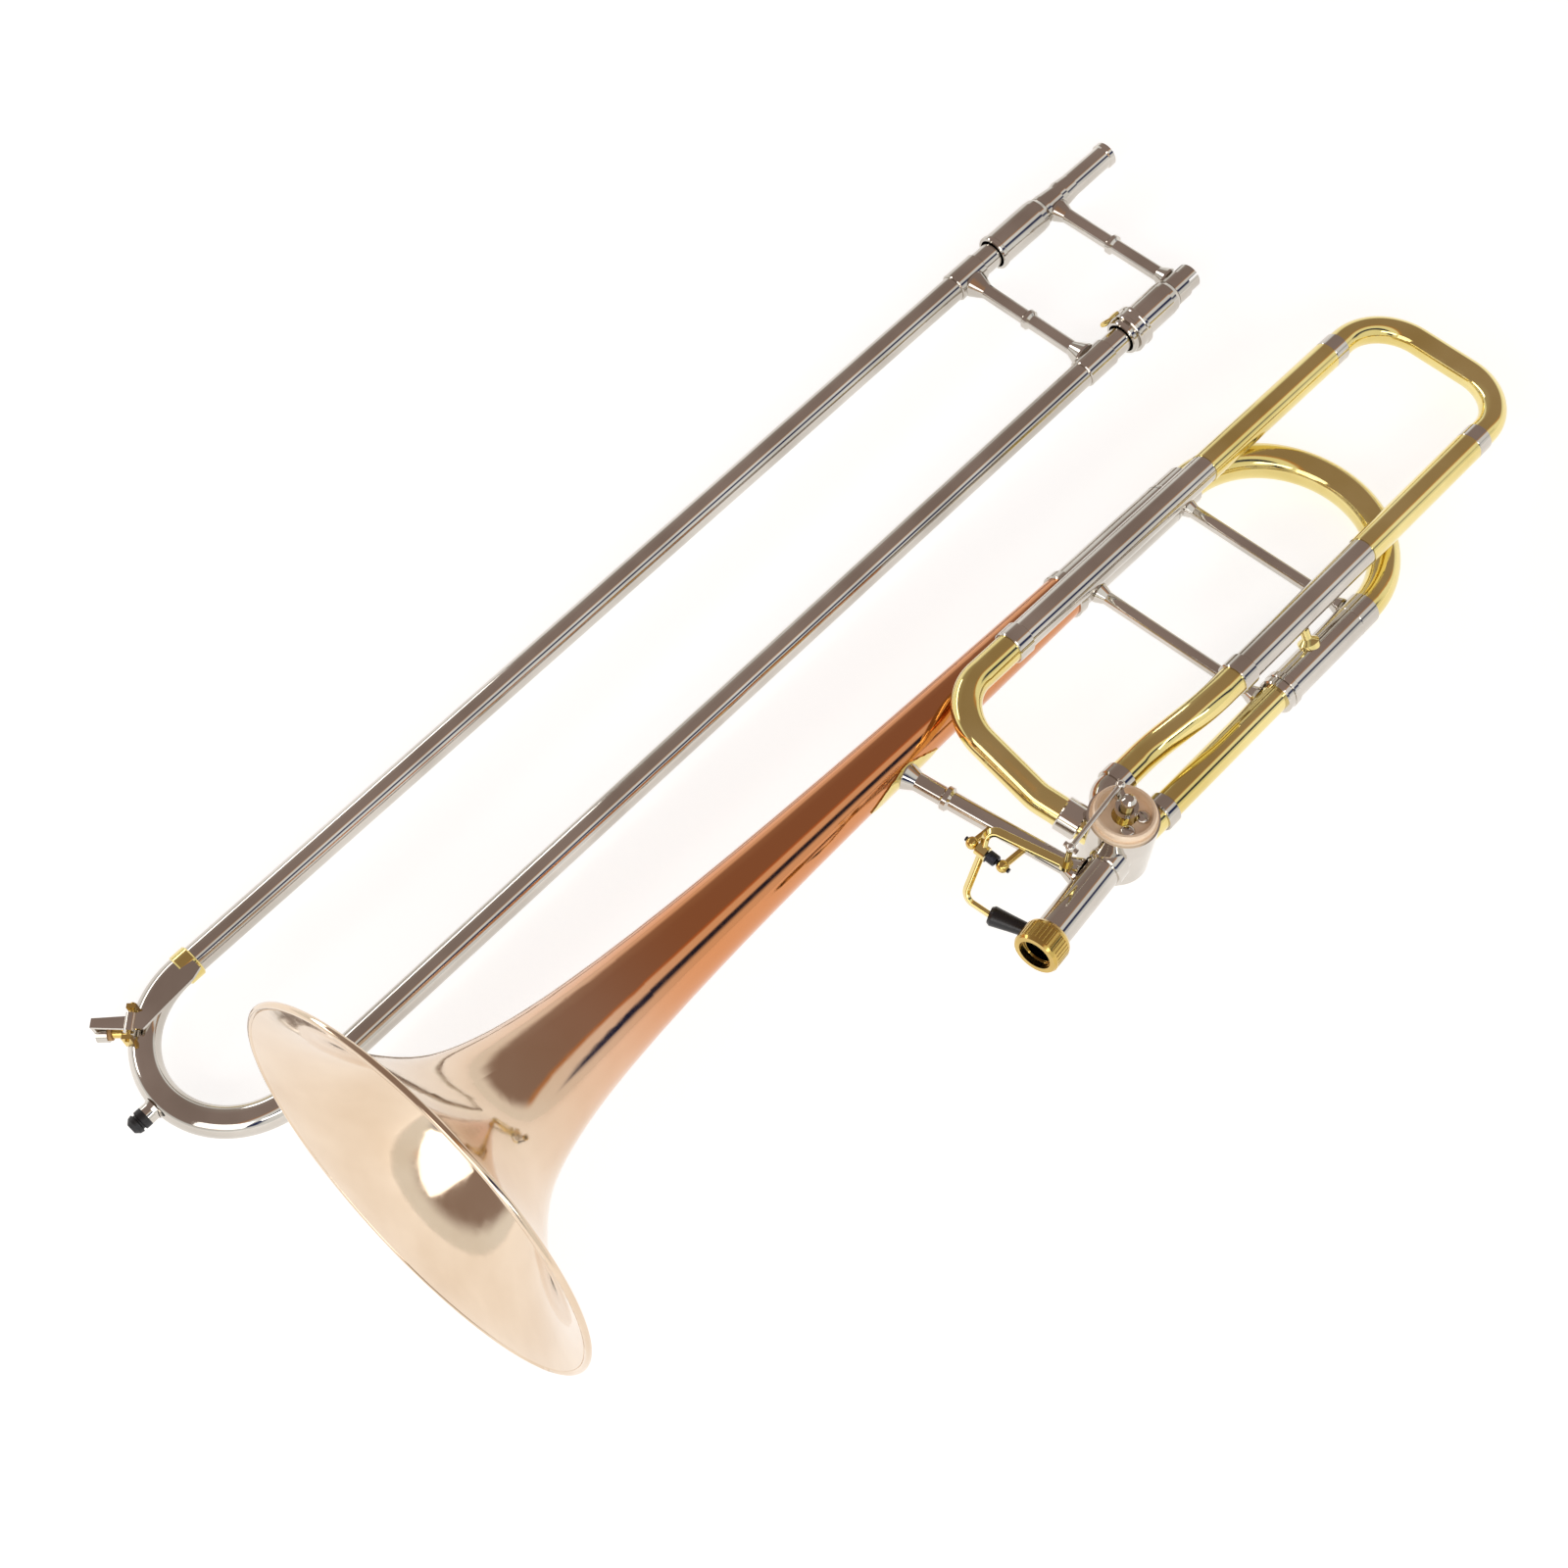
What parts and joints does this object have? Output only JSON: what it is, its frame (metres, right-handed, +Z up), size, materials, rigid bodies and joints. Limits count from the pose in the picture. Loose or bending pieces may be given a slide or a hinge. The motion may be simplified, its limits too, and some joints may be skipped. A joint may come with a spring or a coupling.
{
  "type": "trombone",
  "caption": "Tenor trombone with an F attachment, taken apart: a nickel hand slide beside a bell section with rose-brass bell, valve, thumb lever and tuning bows.",
  "frame": {"origin": "centre of the bounding box's base, on the floor", "axes": "+X along the hand slide, from its bow to its mouthpiece end; +Y from the bell section towards the hand slide; +Z up"},
  "size_m": [0.7488, 0.3332, 0.201],
  "materials": {
    "rose_brass": "polished and clear-lacquered",
    "yellow_brass": "polished and clear-lacquered",
    "nickel_silver": "polished",
    "spring_steel": "blued wire",
    "black_plastic": "moulded, satin",
    "black_rubber": "moulded",
    "cork": "cut cork"
  },
  "bodies": {
    "bell_section": {"bell_flare": "rose_brass", "bell_stem": "rose_brass", "bell_leg": "nickel_silver", "gooseneck_leg": "nickel_silver", "leg_ferrules": "nickel_silver", "valve_casing": "nickel_silver", "bearing_plates": "yellow_brass", "valve_front_cap": "nickel_silver", "valve_back_cap": "nickel_silver", "cap_screws": "nickel_silver", "gooseneck_tube": "yellow_brass", "neckpipe": "nickel_silver", "port_ferrules": "nickel_silver", "f_cross_tube": "yellow_brass", "f_return_bend": "yellow_brass", "return_knuckle": "nickel_silver", "f_left_tube": "nickel_silver", "f_left_leg": "yellow_brass", "f_right_tube": "nickel_silver", "f_right_leg": "yellow_brass", "f_tube_ferrules": "nickel_silver", "upper_brace": "nickel_silver", "lower_brace": "nickel_silver", "f_stays": "yellow_brass", "lever_posts": "yellow_brass", "lever_axle": "spring_steel", "lever_spring": "spring_steel"},
    "rotor": {"valve_rotor": "yellow_brass", "stop_arm": "nickel_silver", "spindle_screw": "nickel_silver"},
    "thumb_lever": {"thumb_lever": "yellow_brass", "thumb_grip": "black_plastic"},
    "link_rod": {"link_rod": "nickel_silver"},
    "coupling_nut": {"coupling_nut": "yellow_brass"},
    "main_tuning_slide": {"main_tuning_bow": "yellow_brass", "main_slide_inner_legs": "nickel_silver", "main_bow_ferrules": "nickel_silver", "main_bow_brace": "nickel_silver"},
    "f_tuning_slide": {"f_tuning_bow": "yellow_brass", "f_slide_inner_legs": "nickel_silver", "f_bow_ferrules": "nickel_silver"},
    "hand_slide": {"inner_slide_tubes": "nickel_silver", "upper_cork_barrel": "nickel_silver", "lower_cork_barrel": "nickel_silver", "barrel_corks": "cork", "mouthpiece_receiver": "nickel_silver", "slide_tenon": "nickel_silver", "inner_slide_brace": "nickel_silver"},
    "outer_slide": {"outer_slide_tubes": "nickel_silver", "slide_bow": "nickel_silver", "slide_bow_ferrules": "yellow_brass", "outer_slide_brace": "nickel_silver", "outer_brace_collars": "nickel_silver", "bumper_socket": "nickel_silver", "end_bumper": "black_rubber", "water_key_nipple": "yellow_brass", "water_key_saddle": "yellow_brass"},
    "slide_lock": {"slide_lock_ring": "yellow_brass"},
    "water_key": {"water_key": "nickel_silver", "water_key_cork": "cork"}
  },
  "joints": [
    {"name": "lift_hand_slide", "type": "slide", "parent": "bell_section", "child": "hand_slide", "axis": [0, 0, 1], "range_m": [0, 0.25]},
    {"name": "slide_out", "type": "slide", "parent": "hand_slide", "child": "outer_slide", "axis": [-1, 0, 0], "range_m": [0, 0.57]},
    {"name": "slide_lock_turn", "type": "hinge", "parent": "hand_slide", "child": "slide_lock", "pos_m": [0.28091, 0.06476, 0.0118], "axis": [1, 0, 0], "range_deg": [-50, 0]},
    {"name": "water_key_press", "type": "hinge", "parent": "outer_slide", "child": "water_key", "pos_m": [-0.3392, 0.14724, 0.023], "axis": [0.7314, 0.682, 0], "range_deg": [0, 9], "stiffness_Nm_per_rad": 0.05, "springref_deg": -8.59},
    {"name": "coupling_nut_turn", "type": "hinge", "parent": "bell_section", "child": "coupling_nut", "pos_m": [-0.04235, -0.15507, 0.05393], "axis": [-0.9808, -0.1351, 0.1408], "continuous": true},
    {"name": "main_slide_pull", "type": "slide", "parent": "bell_section", "child": "main_tuning_slide", "axis": [0.9881, 0.0454, -0.1471], "range_m": [0, 0.038]},
    {"name": "f_slide_pull", "type": "slide", "parent": "bell_section", "child": "f_tuning_slide", "axis": [0.9881, 0.0454, -0.1471], "range_m": [0, 0.065]},
    {"name": "thumb_lever_press", "type": "hinge", "parent": "bell_section", "child": "thumb_lever", "pos_m": [-0.0202, -0.10722, 0.05841], "axis": [0.0364, -0.9973, -0.0633], "range_deg": [0, 24], "stiffness_Nm_per_rad": 0.08, "springref_deg": -17.19},
    {"name": "valve_turn", "type": "hinge", "parent": "bell_section", "child": "rotor", "pos_m": [0.0332, -0.13971, 0.04336], "axis": [0.1496, -0.0572, 0.9871], "range_deg": [0, 80.5]},
    {"name": "link_rod_swing", "type": "hinge", "parent": "thumb_lever", "child": "link_rod", "pos_m": [-0.0002, -0.13958, 0.07741], "axis": [0.0364, -0.9973, -0.0633], "range_deg": [-29.8, 0]}
  ],
  "couplings": [
    {"joint": "valve_turn", "follows": "thumb_lever_press", "ratio": 3.3333},
    {"joint": "link_rod_swing", "follows": "thumb_lever_press", "ratio": -1.23}
  ]
}
